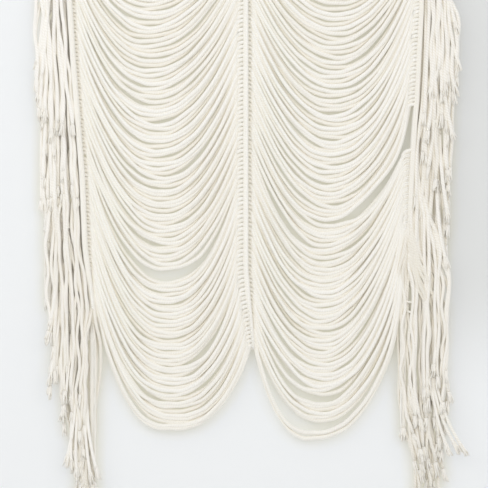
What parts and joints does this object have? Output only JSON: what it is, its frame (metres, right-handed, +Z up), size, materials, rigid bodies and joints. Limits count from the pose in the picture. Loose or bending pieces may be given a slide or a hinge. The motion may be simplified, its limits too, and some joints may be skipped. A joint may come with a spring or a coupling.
{
  "type": "macrame curtain",
  "caption": "Hung macrame curtain: cotton strands sag in two swags between three ridged knotted ribs, with loose staggered fringes outside the outer ribs.",
  "frame": {"origin": "middle of the top edge of the heading bar, where the curtain is held", "axes": "+X to the right seen from the front, -Y to the front, +Y to the wall, +Z up; the curtain hangs down along -Z"},
  "size_m": [0.683, 0.0236, 0.9873],
  "materials": {
    "cotton_cord": "undyed natural cotton cord, loosely twisted, matt",
    "cotton_tails": "undyed natural cotton cord with frayed cut ends, matt"
  },
  "bodies": {
    "root": {"knotted_swags": "cotton_cord", "left_fringe": "cotton_tails", "right_fringe": "cotton_tails"}
  },
  "joints": []
}
